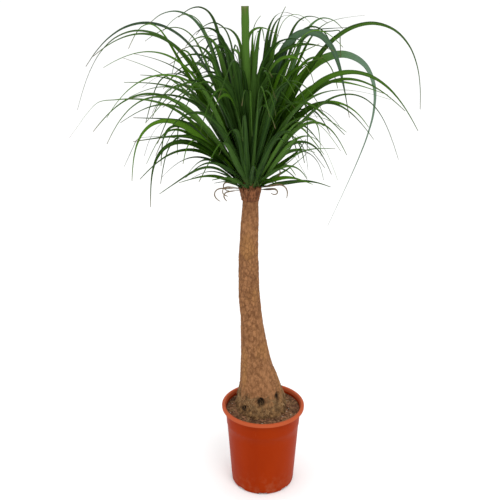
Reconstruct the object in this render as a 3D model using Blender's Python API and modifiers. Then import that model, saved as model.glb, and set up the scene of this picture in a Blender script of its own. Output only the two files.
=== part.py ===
"""A ponytail palm in a plastic nursery pot.

The pot stands on the floor with its axis on +Z. Soil fills it, the swollen foot of the trunk sits
in the soil, and the trunk leans a little towards -X on its way up to the growing tip, where the
long strap leaves spring out in a spiral. Every leaf is its own piece. All sizes are in metres.
"""

import math
import random
from collections import namedtuple

import bmesh
import bpy
from mathutils import Vector
from mathutils.bvhtree import BVHTree

# ---- driving dimensions -------------------------------------------------------------------
GAP = 0.0004  # kept between pieces that touch

POT_HEIGHT = 0.252
POT_RIM_RADIUS = 0.120
POT_BASE_RADIUS = 0.0915
POT_MOUTH_RADIUS = 0.1090  # outside of the wall where the lip begins
POT_WALL = 0.0018
POT_FLOOR = 0.003
POT_LIP_HEIGHT = 0.009
POT_COLLAR_HEIGHT = 0.059  # from the top down to the nesting step
POT_COLLAR_STEP = 0.0012
POT_CORNER_RADIUS = 0.005
DRAIN_COUNT = 8
DRAIN_SLOT = (0.018, 0.024, 0.012)  # radial, tangential, height
DRAIN_HOLE_RADIUS = 0.005
DRAIN_HOLE_RING = 0.052
TURN_STEPS = 48

SOIL_BELOW_RIM = 0.016
SOIL_DOME = 0.007  # how much higher the soil is around the trunk

# Height above the floor, sideways place (x, y) and radius of the trunk, from its foot to the tip.
TrunkRing = namedtuple("TrunkRing", "height x y radius")
TRUNK_RINGS = (
    TrunkRing(0.168, 0.000, 0.000, 0.030),
    TrunkRing(0.182, -0.001, 0.000, 0.058),
    TrunkRing(0.205, -0.002, 0.000, 0.072),
    TrunkRing(0.235, -0.004, 0.000, 0.073),
    TrunkRing(0.275, -0.006, 0.001, 0.0665),
    TrunkRing(0.330, -0.011, 0.003, 0.0560),
    TrunkRing(0.400, -0.022, 0.005, 0.0425),
    TrunkRing(0.500, -0.032, 0.007, 0.0325),
    TrunkRing(0.600, -0.040, 0.006, 0.0292),
    TrunkRing(0.700, -0.042, 0.004, 0.0276),
    TrunkRing(0.800, -0.039, 0.001, 0.0240),
    TrunkRing(0.868, -0.037, 0.000, 0.0216),
    TrunkRing(0.904, -0.037, 0.000, 0.0245),
    TrunkRing(0.981, -0.037, 0.000, 0.0045),
)
TRUNK_STEPS = 2  # rings added between two of those above

CROWN_X = -0.037
CROWN_FOOT = 0.905  # height of the lowest leaf's base
LEAF_BASE_RADIUS = 0.0280  # of the outermost leaves, from the middle of the stem
LAYER_INSET = 0.00115  # a leaf that lies inside another starts this much nearer the middle
LAYER_RISE = 0.0040  # and this much higher
LAYER_REACH = 45.0  # leaves whose azimuths differ by less lie in each other's way
TURN_ASIDE = 1.25  # degrees at a time
MOST_ASIDE = 40.0
COLLAR_HEIGHT = 0.028
COLLAR_FIT = 0.0009  # between the dry leaf bases and the stem

LEAF_WIDTH = 0.016
LEAF_BASE_WIDTH = 0.008
LEAF_THICKNESS = 0.0009
LEAF_STATIONS = 14
GOLDEN_SHARE = 0.618034

# A leaf leaves the stem towards its azimuth (0 is +X, 90 is +Y) at its launch angle above the
# horizon, arches over at the share `arch` of its length, more gently the larger `ease` is, and
# ends at the angle `hang`. A kink is where a leaf has folded: the share along it, and the angle.
Leaf = namedtuple("Leaf", "azimuth launch length arch ease hang kink", defaults=(None,))

OUTER_LEAVES = (
    # reaching left
    Leaf(180, 67, 0.74, 0.64, 0.09, -72),
    Leaf(175, 76, 0.53, 0.85, 0.08, -45),
    Leaf(169, 73, 0.69, 0.68, 0.12, -55),
    Leaf(184, 53, 0.57, 0.50, 0.09, -10, (0.80, 42)),
    Leaf(196, 57, 0.50, 0.66, 0.10, -62),
    Leaf(188, 51, 0.46, 0.62, 0.09, -85),
    Leaf(174, 46, 0.40, 0.45, 0.10, -8, (0.78, 55)),
    Leaf(163, 62, 0.41, 0.68, 0.10, 0),
    Leaf(202, 51, 0.34, 0.52, 0.08, -4),
    Leaf(180, 42, 0.25, 0.38, 0.08, -35),
    Leaf(190, 34, 0.17, 0.45, 0.12, -15),
    Leaf(155, 82, 0.44, 0.84, 0.05, -50),
    # reaching right
    Leaf(4, 66, 0.78, 0.67, 0.10, -88),
    Leaf(350, 65, 0.61, 0.62, 0.11, -60),
    Leaf(357, 63, 0.53, 0.64, 0.10, -42),
    Leaf(17, 69, 0.94, 0.46, 0.085, -116),
    Leaf(11, 79, 0.64, 0.60, 0.06, -78),
    Leaf(343, 65, 0.46, 0.60, 0.12, -14),
    Leaf(2, 62, 0.41, 0.70, 0.12, -55),
    Leaf(330, 61, 0.35, 0.66, 0.07, -50),
    Leaf(337, 57, 0.34, 0.60, 0.07, -68),
    Leaf(5, 8, 0.19, 0.70, 0.10, -22),
    Leaf(24, 18, 0.16, 0.50, 0.15, 36),
    Leaf(42, 82, 0.45, 0.86, 0.05, -20),
    Leaf(23, 69, 0.50, 0.86, 0.05, -45),
    Leaf(31, 75, 0.55, 0.62, 0.05, 0),
    # nearly upright
    Leaf(196, 88, 0.39, 0.97, 0.03, 84),
    Leaf(230, 76, 0.44, 0.82, 0.05, -30),
)
PAIRS_TO_FRONT_AND_BACK = 12
PAIRS_SEED = 5


# ---- small helpers ------------------------------------------------------------------------
def mix(a, b, share):
    return a + (b - a) * share


def new_object(name, data, collection):
    made = bpy.data.objects.new(name, data)
    collection.objects.link(made)
    return made


def finish(name, colour, roughness):
    """A Principled material of that colour."""
    material = bpy.data.materials.new(name)
    material.use_nodes = True
    shader = material.node_tree.nodes["Principled BSDF"]
    shader.inputs["Base Color"].default_value = (*colour, 1.0)
    shader.inputs["Roughness"].default_value = roughness
    shader.inputs["Metallic"].default_value = 0.0
    material.diffuse_color = (*colour, 1.0)
    return material


def smooth_shaded(obj, angle=40):
    obj.data.shade_smooth()
    obj.data.set_sharp_from_angle(angle=math.radians(angle))


def turned(name, profile, collection):
    """A closed body turned about Z. The profile is (radius, height) from the top, outside, down."""
    mesh = bpy.data.meshes.new(name)
    points = [(radius, 0.0, height) for radius, height in profile]
    mesh.from_pydata(points, [(i, i + 1) for i in range(len(points) - 1)], [])
    body = new_object(name, mesh, collection)
    screw = body.modifiers.new("turn", "SCREW")
    screw.steps = TURN_STEPS
    screw.render_steps = TURN_STEPS
    screw.use_merge_vertices = True
    screw.merge_threshold = 0.00005
    screw.use_smooth_shade = True
    return body


def cut(body, cutter):
    boolean = body.modifiers.new("cut_" + cutter.name, "BOOLEAN")
    boolean.operation = "DIFFERENCE"
    boolean.object = cutter


def as_cutter(obj):
    obj.hide_render = True
    obj.display_type = "WIRE"
    return obj


def pot_radius(height):
    """Outside of the tapered wall at that height."""
    return mix(POT_BASE_RADIUS, POT_MOUTH_RADIUS, height / POT_HEIGHT)


# ---- pot ----------------------------------------------------------------------------------
def pot_profile():
    """From the centre of the pot's inner floor, up the inside, over the lip and down the outside."""
    step_height = POT_HEIGHT - POT_COLLAR_HEIGHT
    lip_under = POT_HEIGHT - POT_LIP_HEIGHT
    inner_floor = POT_BASE_RADIUS - POT_WALL - POT_CORNER_RADIUS
    inside = [(0.0, POT_FLOOR), (inner_floor, POT_FLOOR)]
    inside.append((pot_radius(POT_FLOOR + POT_CORNER_RADIUS) - POT_WALL, POT_FLOOR + POT_CORNER_RADIUS))
    inside.append((pot_radius(step_height) - POT_WALL, step_height))
    inside.append((pot_radius(step_height) - POT_WALL + POT_COLLAR_STEP, step_height + 0.002))
    inside.append((pot_radius(lip_under) - POT_WALL + POT_COLLAR_STEP, lip_under))
    inside.append((POT_MOUTH_RADIUS + 0.001, POT_HEIGHT - 0.0015))
    lip = [
        (POT_MOUTH_RADIUS + 0.003, POT_HEIGHT),
        (POT_RIM_RADIUS - 0.0015, POT_HEIGHT),
        (POT_RIM_RADIUS, POT_HEIGHT - 0.0015),
        (POT_RIM_RADIUS, lip_under),
        (POT_RIM_RADIUS - 0.0016, lip_under),
        (POT_RIM_RADIUS - 0.0024, POT_HEIGHT - 0.0026),
        (POT_MOUTH_RADIUS + 0.0030, POT_HEIGHT - 0.0030),
    ]
    outside = [
        (pot_radius(lip_under) + POT_COLLAR_STEP, lip_under - 0.001),
        (pot_radius(step_height) + POT_COLLAR_STEP, step_height + 0.0012),
        (pot_radius(step_height), step_height),
    ]
    corner_centre = (POT_BASE_RADIUS - POT_CORNER_RADIUS, POT_CORNER_RADIUS)
    for quarter in range(4):
        turn = math.radians(30 * quarter)
        outside.append(
            (
                corner_centre[0] + POT_CORNER_RADIUS * math.cos(turn),
                corner_centre[1] - POT_CORNER_RADIUS * math.sin(turn),
            )
        )
    return inside + lip + outside + [(0.0, 0.0)]


def add_drains(pot, cutters):
    """Slots through the lower corner of the pot and round holes through its floor."""
    for index in range(DRAIN_COUNT):
        turn = math.radians(-90 + 360 / DRAIN_COUNT * index)
        bpy.ops.mesh.primitive_cube_add(size=1.0)
        slot = bpy.context.object
        slot.name = f"drain_slot_{index + 1}"
        slot.scale = DRAIN_SLOT
        slot.rotation_euler = (0, 0, turn)
        reach = POT_BASE_RADIUS
        slot.location = (reach * math.cos(turn), reach * math.sin(turn), 0.0)
        bpy.ops.mesh.primitive_cylinder_add(radius=DRAIN_HOLE_RADIUS, depth=4 * POT_FLOOR, vertices=16)
        hole = bpy.context.object
        hole.name = f"drain_hole_{index + 1}"
        between = turn + math.radians(180 / DRAIN_COUNT)
        hole.rotation_euler = (0, 0, between + math.radians(5))
        hole.location = (DRAIN_HOLE_RING * math.cos(between), DRAIN_HOLE_RING * math.sin(between), 0.0)
        for cutter in (slot, hole):
            for owner in list(cutter.users_collection):
                owner.objects.unlink(cutter)
            cutters.objects.link(as_cutter(cutter))
            cut(pot, cutter)


def add_pot(parts, cutters, material):
    pot = turned("pot", pot_profile(), parts)
    add_drains(pot, cutters)
    pot.data.materials.append(material)
    return pot


# ---- trunk --------------------------------------------------------------------------------
def smooth_between(values, place):
    """A Catmull-Rom curve through evenly numbered values."""
    start = min(int(place), len(values) - 2)
    share = place - start
    before = values[max(start - 1, 0)]
    a, b = values[start], values[start + 1]
    after = values[min(start + 2, len(values) - 1)]
    slope_a, slope_b = (b - before) / 2, (after - a) / 2
    return (
        a * (1 + 2 * share) * (1 - share) ** 2
        + slope_a * share * (1 - share) ** 2
        + b * share * share * (3 - 2 * share)
        + slope_b * share * share * (share - 1)
    )


def trunk_rings(steps=TRUNK_STEPS):
    count = (len(TRUNK_RINGS) - 1) * (steps + 1)
    columns = list(zip(*TRUNK_RINGS))
    for index in range(count + 1):
        place = index / (steps + 1)
        yield TrunkRing(*(smooth_between(column, place) for column in columns))


def stem_radius(height):
    rings = list(trunk_rings())
    for low, high in zip(rings, rings[1:]):
        if low.height <= height <= high.height:
            return mix(low.radius, high.radius, (height - low.height) / (high.height - low.height))
    return rings[-1].radius


def trunk_tube(name, collection, grown=0.0):
    """The trunk as a tube of changing radius, made a mesh so that it can cut the soil."""
    curve = bpy.data.curves.new(name, "CURVE")
    curve.dimensions = "3D"
    curve.bevel_depth = 1.0
    curve.bevel_resolution = 6
    curve.use_fill_caps = True
    spline = curve.splines.new("POLY")
    rings = list(trunk_rings())
    spline.points.add(len(rings) - 1)
    for point, ring in zip(spline.points, rings):
        point.co = (ring.x, ring.y, ring.height, 1.0)
        point.radius = ring.radius + grown
    tube = new_object(name, curve, collection)
    bpy.context.view_layer.update()
    evaluated = tube.evaluated_get(bpy.context.evaluated_depsgraph_get())
    mesh = bpy.data.meshes.new_from_object(evaluated)
    bpy.data.objects.remove(tube)
    welded = bmesh.new()
    welded.from_mesh(mesh)
    bmesh.ops.remove_doubles(welded, verts=welded.verts, dist=0.00005)
    bmesh.ops.recalc_face_normals(welded, faces=welded.faces)
    welded.to_mesh(mesh)
    welded.free()
    mesh.name = name
    return new_object(name, mesh, collection)


def add_trunk(parts, material):
    trunk = trunk_tube("trunk", parts)
    trunk.data.materials.append(material)
    smooth_shaded(trunk)
    return trunk


# ---- soil ---------------------------------------------------------------------------------
def add_soil(parts, cutters, material):
    surface = POT_HEIGHT - SOIL_BELOW_RIM
    floor = POT_FLOOR + GAP
    corner = POT_FLOOR + POT_CORNER_RADIUS + GAP
    step_height = POT_HEIGHT - POT_COLLAR_HEIGHT
    inset = POT_WALL + GAP
    profile = [
        (0.0, surface + SOIL_DOME),
        (0.078, surface + 0.7 * SOIL_DOME),
        (0.095, surface),
        (pot_radius(surface) - inset - GAP, surface - 0.001),
        (pot_radius(step_height) - inset, step_height),
        (pot_radius(corner) - inset, corner),
        (POT_BASE_RADIUS - POT_CORNER_RADIUS - inset, floor),
        (0.0, floor),
    ]
    soil = turned("potting_soil", profile, parts)
    cut(soil, as_cutter(trunk_tube("trunk_socket", cutters, grown=GAP)))
    soil.data.materials.append(material)
    return soil


# ---- crown --------------------------------------------------------------------------------
def add_leaf_collar(parts, material):
    """The ring of dry, papery leaf bases left under the living crown."""
    foot, top = CROWN_FOOT - COLLAR_HEIGHT, CROWN_FOOT - 0.0015
    shoulder = top - 0.004
    waist = foot + 0.010
    profile = [
        (stem_radius(shoulder) + COLLAR_FIT, shoulder),
        (stem_radius(top) + 0.0030, top),
        (stem_radius(shoulder) + 0.0048, shoulder),
        (stem_radius(waist) + 0.0028, waist),
        (stem_radius(foot) + 0.0018, foot),
        (stem_radius(foot) + COLLAR_FIT, foot),
        (stem_radius(waist) + COLLAR_FIT, waist),
        (stem_radius(shoulder) + COLLAR_FIT, shoulder),
    ]
    collar = turned("dry_leaf_collar", profile, parts)
    collar.location = (CROWN_X, 0.0, 0.0)
    collar.data.materials.append(material)
    return collar


def front_and_back_leaves():
    """Leaves reaching towards -Y and +Y, lower and flatter ones first."""
    rng = random.Random(PAIRS_SEED)
    for index in range(PAIRS_TO_FRONT_AND_BACK):
        rank = index / (PAIRS_TO_FRONT_AND_BACK - 1)
        for middle, lowest, longest in ((270, 60, 0.40), (90, 34, 0.47)):
            spread = (index * GOLDEN_SHARE + middle / 360) % 1
            yield Leaf(
                azimuth=middle + mix(-56, 56, spread),
                launch=mix(lowest, 85, rank**0.8),
                length=mix(longest, 0.35, rank) + rng.uniform(-0.04, 0.05),
                arch=mix(0.55, 0.86, rank),
                ease=rng.uniform(0.06, 0.11),
                hang=rng.uniform(-60, -20),
            )


def step_up(share, middle, ease):
    return 1 / (1 + math.exp((middle - share) / ease))


def leaf_pitch(leaf, share):
    """The leaf's angle above the horizon, in degrees, at that share of its length."""
    first, last = step_up(0, leaf.arch, leaf.ease), step_up(1, leaf.arch, leaf.ease)
    turned_over = (step_up(share, leaf.arch, leaf.ease) - first) / (last - first)
    pitch = mix(leaf.launch, leaf.hang, turned_over)
    if leaf.kink:
        pitch -= leaf.kink[1] * step_up(share, leaf.kink[0], 0.008)
    return pitch


def compass(azimuth):
    return Vector((math.cos(math.radians(azimuth)), math.sin(math.radians(azimuth)), 0.0))


def midrib(leaf, layer, stations):
    """Points along the middle of the leaf, from its base to its tip."""
    out = compass(leaf.azimuth)
    place = out * (LEAF_BASE_RADIUS - LAYER_INSET * layer)
    place += Vector((CROWN_X, 0.0, CROWN_FOOT + LAYER_RISE * layer))
    fine = 8
    step = leaf.length / (stations * fine)
    points = [place]
    for index in range(stations * fine):
        pitch = math.radians(leaf_pitch(leaf, (index + 0.5) / (stations * fine)))
        place = place + (out * math.cos(pitch) + Vector((0.0, 0.0, math.sin(pitch)))) * step
        if (index + 1) % fine == 0:
            points.append(place)
    return points


def leaf_width(leaf, share):
    """Narrow where it leaves the stem, widest at a fifth, then narrower all the way to the tip."""
    full = LEAF_WIDTH * min(1.0, 0.55 + leaf.length)
    swelling = math.sin(min(share / 0.2, 1.0) * math.pi / 2)
    return mix(LEAF_BASE_WIDTH, full, swelling) * max(1.0 - share, 0.05) ** 0.7


def leaf_grid(leaf, layer):
    """A flat strap bent along the leaf's midrib, from a grid two points wide."""
    points = midrib(leaf, layer, LEAF_STATIONS)
    side = compass(leaf.azimuth + 90)
    strap = bmesh.new()
    bmesh.ops.create_grid(strap, x_segments=LEAF_STATIONS, y_segments=1, size=0.5)
    for corner in strap.verts:
        share = corner.co.x + 0.5
        place = points[round(share * LEAF_STATIONS)]
        corner.co = place + side * (corner.co.y * leaf_width(leaf, share))
    return strap


def thickened(strap, thickness):
    """A search tree over both faces of the strap."""
    strap.normal_update()
    corners = [v.co + v.normal * thickness / 2 for v in strap.verts]
    corners += [v.co - v.normal * thickness / 2 for v in strap.verts]
    count = len(strap.verts)
    faces = []
    for face in strap.faces:
        loop = [v.index for v in face.verts]
        faces += [loop, [index + count for index in loop]]
    for edge in strap.edges:
        if edge.is_boundary:
            a, b = (v.index for v in edge.verts)
            faces.append([a, b, b + count, a + count])
    return BVHTree.FromPolygons(corners, faces)


def turn_between(a, b):
    return abs((a - b + 180) % 360 - 180)


def placed_leaves():
    """Every leaf with its layer, the outermost being 0.

    A leaf lies inside the flatter ones around it. One that would still cross another is turned
    aside, as far as it takes.
    """
    placed = []
    trees = []
    wanted = sorted([*OUTER_LEAVES, *front_and_back_leaves()], key=lambda leaf: leaf.launch)
    for leaf in wanted:
        under = [
            layer for other, layer in placed
            if turn_between(other.azimuth, leaf.azimuth) < LAYER_REACH
        ]
        layer = max(under, default=-1) + 1
        tries = [0.0]
        while tries[-1] < MOST_ASIDE:
            tries += [-tries[-1] - TURN_ASIDE, abs(tries[-1]) + TURN_ASIDE]
        for aside in tries:
            turned_leaf = leaf._replace(azimuth=leaf.azimuth + aside)
            strap = leaf_grid(turned_leaf, layer)
            tree = thickened(strap, LEAF_THICKNESS + 2 * GAP)
            strap.free()
            if not any(tree.overlap(other) for other in trees):
                break
        placed.append((turned_leaf, layer))
        trees.append(tree)
        print("leaf", len(placed), "layer", layer, "aside", aside)
    return placed


def add_leaf(name, leaf, layer, parts, material):
    strap = leaf_grid(leaf, layer)
    mesh = bpy.data.meshes.new(name)
    strap.to_mesh(mesh)
    strap.free()
    made = new_object(name, mesh, parts)
    shell = made.modifiers.new("thickness", "SOLIDIFY")
    shell.thickness = LEAF_THICKNESS
    shell.offset = 0.0
    mesh.materials.append(material)
    return made


def main():
    for old in list(bpy.data.objects):
        bpy.data.objects.remove(old)
    parts = bpy.data.collections.new("potted_ponytail_palm")
    cutters = bpy.data.collections.new("cutters")
    for collection in (parts, cutters):
        bpy.context.scene.collection.children.link(collection)
    plastic = finish("terracotta_plastic", (0.36, 0.055, 0.012), 0.45)
    earth = finish("potting_mix", (0.09, 0.055, 0.030), 0.95)
    bark = finish("corky_bark", (0.24, 0.13, 0.065), 0.85)
    papery = finish("dry_leaf_base", (0.20, 0.085, 0.040), 0.80)
    green = finish("leaf_green", (0.030, 0.11, 0.020), 0.45)
    add_pot(parts, cutters, plastic)
    add_trunk(parts, bark)
    add_soil(parts, cutters, earth)
    add_leaf_collar(parts, papery)
    for number, (leaf, layer) in enumerate(placed_leaves(), start=1):
        add_leaf(f"leaf_{number:02d}", leaf, layer, parts, green)


main()
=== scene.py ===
# %% [markdown]
# # A ponytail palm in a nursery pot
#
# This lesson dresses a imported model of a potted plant: a plastic pot, soil, a trunk with a swollen
# foot, and a crown of long strap leaves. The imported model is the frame. It gives every size and
# place, and nothing in it is moved. Each plain solid is replaced by a finer piece that stands in
# the same space.

import math
import random
from collections import namedtuple

import bmesh
import bpy
import numpy as np
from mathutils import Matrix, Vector, noise
from mathutils.bvhtree import BVHTree


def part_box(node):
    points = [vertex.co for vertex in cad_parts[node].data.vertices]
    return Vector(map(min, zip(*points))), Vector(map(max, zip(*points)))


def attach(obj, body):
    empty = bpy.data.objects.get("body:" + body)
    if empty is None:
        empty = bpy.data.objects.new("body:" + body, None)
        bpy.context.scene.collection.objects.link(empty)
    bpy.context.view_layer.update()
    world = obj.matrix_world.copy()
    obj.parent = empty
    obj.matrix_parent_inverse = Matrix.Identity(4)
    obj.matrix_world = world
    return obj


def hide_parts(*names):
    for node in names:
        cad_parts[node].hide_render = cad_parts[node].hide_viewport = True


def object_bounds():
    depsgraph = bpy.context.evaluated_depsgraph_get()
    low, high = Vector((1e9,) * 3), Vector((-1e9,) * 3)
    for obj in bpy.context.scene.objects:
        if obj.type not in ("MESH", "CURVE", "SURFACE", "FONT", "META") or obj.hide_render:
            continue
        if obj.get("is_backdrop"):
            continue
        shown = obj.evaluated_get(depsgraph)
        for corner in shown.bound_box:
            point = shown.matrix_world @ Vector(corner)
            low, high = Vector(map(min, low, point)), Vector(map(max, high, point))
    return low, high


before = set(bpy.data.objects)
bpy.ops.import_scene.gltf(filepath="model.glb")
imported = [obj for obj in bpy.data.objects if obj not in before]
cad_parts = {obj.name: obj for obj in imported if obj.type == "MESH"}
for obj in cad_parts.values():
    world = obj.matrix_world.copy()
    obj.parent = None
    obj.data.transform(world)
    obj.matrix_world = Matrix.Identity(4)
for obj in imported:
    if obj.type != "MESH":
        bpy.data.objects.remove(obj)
cad_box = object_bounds()
leaf_nodes = sorted(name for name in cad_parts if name.startswith("leaf_"))
print("frame:", len(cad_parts), "nodes,", len(leaf_nodes), "of them leaves")

# %% [markdown]
# ## Camera, floor and light
#
# The plant is seen from standing height, two metres away and looking a little down, so the pot's
# mouth opens into an ellipse. The floor and the sky are almost white, as in a shop's studio. One
# big lamp above and in front makes the leaves shade one another, and the white room fills in.


# %% Camera, floor and light
CAMERA_PLACE = (-0.038, -2.0, 1.456)
CAMERA_DOWN = 20  # degrees below level
LENS, SENSOR = 56.4, 36.0  # millimetres
SKY_STRENGTH = 1.12


def link(thing):
    """Puts a new object into the scene."""
    bpy.context.scene.collection.objects.link(thing)
    return thing


def lamp(name, size, power, place, aim):
    """A square area lamp that points at aim."""
    data = bpy.data.lights.new(name, "AREA")
    data.shape, data.size, data.energy = "SQUARE", size, power
    made = link(bpy.data.objects.new(name, data))
    made.location = place
    made.rotation_euler = (Vector(aim) - Vector(place)).to_track_quat("-Z", "Y").to_euler()


camera = link(bpy.data.objects.new("camera", bpy.data.cameras.new("camera")))
camera.data.lens, camera.data.sensor_width = LENS, SENSOR
camera.location = CAMERA_PLACE
camera.rotation_euler = (math.radians(90 - CAMERA_DOWN), 0.0, 0.0)
bpy.context.scene.camera = camera

lamp("key_lamp", 1.6, 34, (0.9, -1.9, 3.1), (0.0, 0.0, 0.8))
lamp("fill_lamp", 2.2, 8, (-2.4, -1.2, 1.6), (0.0, 0.0, 0.7))

world = bpy.data.worlds.new("white_room")
world.use_nodes = True
sky = world.node_tree.nodes["Background"]
sky.inputs["Color"].default_value = (1.0, 1.0, 1.0, 1.0)
sky.inputs["Strength"].default_value = SKY_STRENGTH
bpy.context.scene.world = world
bpy.context.scene.view_settings.view_transform = "Standard"

# %% [markdown]
# ## Writing shaders as sums
#
# A finish is mostly arithmetic on noise: "this much brown where the bark is cracked". The class
# `Wire` holds one output socket, and Python's operators on it add Math nodes, so a shader reads
# like a formula. `Finish` holds the material. Its `node` method adds any other node.


# %% Shader helpers
class Wire:
    """An output socket. Arithmetic on it adds Math nodes."""

    def __init__(self, finish, socket):
        self.finish, self.socket = finish, socket

    def _math(self, operation, first, second):
        return self.finish.node("ShaderNodeMath", {"operation": operation}, {0: first, 1: second})

    def __add__(self, other):
        return self._math("ADD", self, other)

    def __radd__(self, other):
        return self._math("ADD", other, self)

    def __sub__(self, other):
        return self._math("SUBTRACT", self, other)

    def __mul__(self, other):
        return self._math("MULTIPLY", self, other)

    def __rmul__(self, other):
        return self._math("MULTIPLY", other, self)

    def between(self, low, high):
        """0 at low and below, 1 at high and above, smooth on the way."""
        return self.finish.node(
            "ShaderNodeMapRange",
            {"interpolation_type": "SMOOTHSTEP"},
            {"Value": self, "From Min": low, "From Max": high},
        )


class Finish:
    """A material: its node tree and the Principled shader at its end."""

    def __init__(self, name, roughness=0.5, specular=0.5):
        self.material = bpy.data.materials.new(name)
        self.material.use_nodes = True
        self.tree = self.material.node_tree
        self.shader = self.tree.nodes["Principled BSDF"]
        self.shader.inputs["Roughness"].default_value = roughness
        self.shader.inputs["Specular IOR Level"].default_value = specular
        self.place = self.node("ShaderNodeTexCoord", out="Object")

    def node(self, kind, settings=None, inputs=None, out=0):
        made = self.tree.nodes.new(kind)
        for key, value in (settings or {}).items():
            setattr(made, key, value)
        for key, value in (inputs or {}).items():
            self.feed(made.inputs[key], value)
        return Wire(self, made.outputs[out])

    def feed(self, socket, value):
        if isinstance(value, Wire):
            self.tree.links.new(value.socket, socket)
        else:
            socket.default_value = value

    def mix(self, share, first, second):
        """From the first colour to the second."""
        first, second = (c if isinstance(c, Wire) else (*c, 1.0) for c in (first, second))
        inputs = {0: share, 6: first, 7: second}
        return self.node("ShaderNodeMix", {"data_type": "RGBA"}, inputs, out=2)

    def stretched(self, place, stretch):
        """The place in space, scaled along each axis."""
        settings = {"operation": "MULTIPLY"}
        return self.node("ShaderNodeVectorMath", settings, {0: place or self.place, 1: stretch})

    def grain(self, scale, detail=3.0, stretch=(1, 1, 1), rough=0.5, place=None):
        """Noise from 0 to 1 whose features are about 1/scale metres wide."""
        spot = self.stretched(place, stretch)
        wanted = {"Vector": spot, "Scale": scale, "Detail": detail, "Roughness": rough}
        return self.node("ShaderNodeTexNoise", None, wanted)

    def cells(self, scale, stretch=(1, 1, 1)):
        """Distance within a pattern of cells about 1/scale metres wide."""
        spot = self.stretched(None, stretch)
        return self.node("ShaderNodeTexVoronoi", None, {"Vector": spot, "Scale": scale})

    def number(self, name):
        """A number stored on the mesh."""
        return self.node("ShaderNodeAttribute", {"attribute_name": name}, out="Fac")

    def done(self, colour, roughness=None, height=None, depth=0.001):
        """Feeds the shader: a colour, a roughness, and a height whose full range is depth metres."""
        self.feed(self.shader.inputs["Base Color"], colour)
        if roughness is not None:
            self.feed(self.shader.inputs["Roughness"], roughness)
        if height is not None:
            bump = self.node(
                "ShaderNodeBump", None, {"Height": height, "Distance": depth, "Strength": 1.0}
            )
            self.feed(self.shader.inputs["Normal"], bump)
        return self.material


# %% [markdown]
# ## Floor
#
# The floor is a very large pale disc. A soft shadow under the pot is all it should show.

# %% Floor
floor_finish = Finish("pale_floor", roughness=0.9, specular=0.1)
floor_paint = floor_finish.done(
    floor_finish.mix(floor_finish.grain(3.0), (0.93, 0.93, 0.93), (0.95, 0.95, 0.95))
)
floor_mesh = bpy.data.meshes.new("floor")
floor_disc = bmesh.new()
bmesh.ops.create_circle(floor_disc, cap_ends=True, segments=96, radius=40.0)
floor_disc.to_mesh(floor_mesh)
floor_disc.free()
floor_mesh.materials.append(floor_paint)
floor = link(bpy.data.objects.new("floor", floor_mesh))
floor.location.z = -0.0005  # a hair under the pot
floor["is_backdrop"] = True


# %% [markdown]
# ## Small tools for meshes
#
# Most pieces here start as a grid of numbers, rows along the piece and columns across or around
# it. `grid_faces` joins such a grid, and `add_piece` turns points and faces into an object that
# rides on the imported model.


# %% Mesh tools
def mix(a, b, share):
    return a + (b - a) * share


def smooth_step(low, high, value):
    share = np.clip((np.asarray(value, float) - low) / (high - low), 0.0, 1.0)
    return share * share * (3 - 2 * share)


def grid_faces(rows, columns, closed=False):
    """Quads between neighbours of a grid that is numbered row by row."""
    across = np.arange(columns if closed else columns - 1)
    beside = (across + 1) % columns
    first = np.arange(rows - 1)[:, None] * columns
    quads = [first + across, first + beside, first + columns + beside, first + columns + across]
    return np.stack(quads, axis=-1).reshape(-1, 4)


def add_piece(name, points, faces, paints, slot, replaced=(), smooth=True):
    mesh = bpy.data.meshes.new(name)
    mesh.from_pydata([tuple(p) for p in points], [], [tuple(f) for f in faces])
    for paint in paints:
        mesh.materials.append(paint)
    piece = link(bpy.data.objects.new(name, mesh))
    if smooth:
        mesh.shade_smooth()
    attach(piece, "root")
    if replaced:
        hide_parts(*replaced)
    return piece


def store(mesh, name, values):
    """Keeps one number per vertex, for a shader to read."""
    mesh.attributes.new(name, "FLOAT", "POINT").data.foreach_set("value", np.asarray(values, "f"))


def lumps(points, scale, octaves=3, seed=0.0):
    """Fractal noise, about -1 to 1, at each point."""
    shift = Vector((seed, seed * 1.7, -seed))
    return np.array(
        [noise.fractal(Vector(p) * scale + shift, 1.0, 2.0, octaves) for p in np.asarray(points)]
    )


def cracks(points, scale, seed=0.0):
    """0 on the border between two cells of a broken pattern, growing towards each cell's middle."""
    shift = Vector((seed, -seed, seed * 0.3))
    found = np.empty(len(points))
    for index, point in enumerate(np.asarray(points)):
        distances, _ = noise.voronoi(Vector(point) * scale + shift)
        found[index] = distances[1] - distances[0]
    return found


# %% [markdown]
# ## Pot
#
# A nursery pot is blown or moulded from thin plastic. Its wall tapers so that empty pots nest, a
# step near the top stops them jamming, and the rim is rolled over for stiffness. A turned profile
# gives all of that, and Boolean cutters open the drain slots in the lower corner and the round
# holes in the floor.

# %% Pot profile
POT_LOW, POT_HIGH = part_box("pot")
POT_HEIGHT = POT_HIGH.z
RIM_RADIUS = POT_HIGH.x
WALL = 0.0018
BASE_RADIUS, MOUTH_RADIUS = 0.0915, 0.1090
STEP_HEIGHT = POT_HEIGHT - 0.059
STEP_OUT = 0.0012
LIP_HEIGHT = 0.009
TURN_STEPS = 144


def arc(centre, radius, start, end, count):
    """Points round part of a circle in the (radius, height) plane, angles in degrees."""
    turns = np.radians(np.linspace(start, end, count))
    return [(centre[0] + radius * math.cos(t), centre[1] + radius * math.sin(t)) for t in turns]


def wall_radius(height):
    return mix(BASE_RADIUS, MOUTH_RADIUS, height / POT_HEIGHT)


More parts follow.
